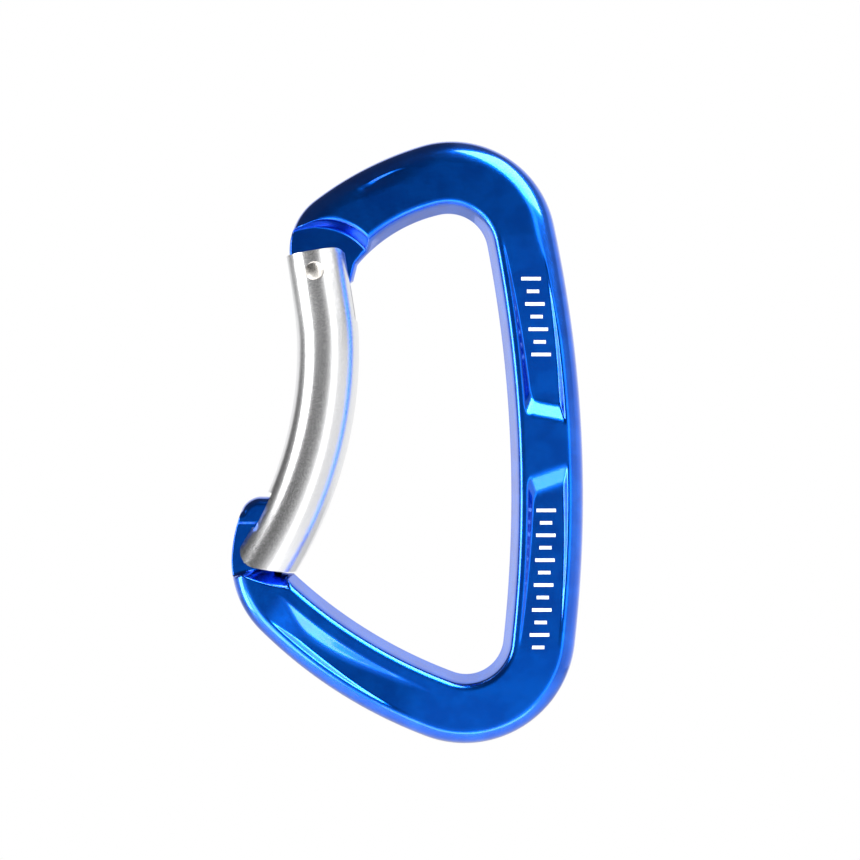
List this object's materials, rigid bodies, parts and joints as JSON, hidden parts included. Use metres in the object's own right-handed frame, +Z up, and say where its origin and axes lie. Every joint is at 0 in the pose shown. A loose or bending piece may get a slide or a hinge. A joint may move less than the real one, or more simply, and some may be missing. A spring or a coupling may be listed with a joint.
{
  "type": "bent-gate carabiner",
  "caption": "Forged D-shaped snap link with a sprung, bent round gate hinged at its narrow top end and a keyed nose at its wide rope end.",
  "frame": {"origin": "crown of the small basket, on the middle plane, where the sling bears", "axes": "+Z up from the rope basket to the sling basket, +X from the gate towards the spine, +Y through the thickness towards the back"},
  "size_m": [0.0585, 0.0104, 0.0998],
  "materials": {
    "anodised_frame": "gloss blue anodised over a tumbled forging",
    "satin_gate": "clear anodised, satin polished along the bar",
    "rivet_steel": "peened and polished",
    "plunger_steel": "turned",
    "spring_steel": "drawn wire"
  },
  "bodies": {
    "frame": {"body": "anodised_frame"},
    "gate": {"gate": "satin_gate", "hinge_rivet": "rivet_steel", "return_spring": "spring_steel"},
    "plunger": {"spring_plunger": "plunger_steel"}
  },
  "joints": [
    {"name": "gate_hinge", "type": "hinge", "parent": "frame", "child": "gate", "pos_m": [-0.0219, 0, -0.0097], "axis": [0, -1, 0], "range_deg": [0, 38], "stiffness_Nm_per_rad": 0.35, "springref_deg": -19.48},
    {"name": "plunger_slide", "type": "slide", "parent": "gate", "child": "plunger", "axis": [0, 0, -1], "range_m": [0, 0.0019], "deforming": ["return_spring"]}
  ],
  "couplings": [
    {"joint": "plunger_slide", "follows": "gate_hinge", "m_per_rad": 0.0028}
  ]
}
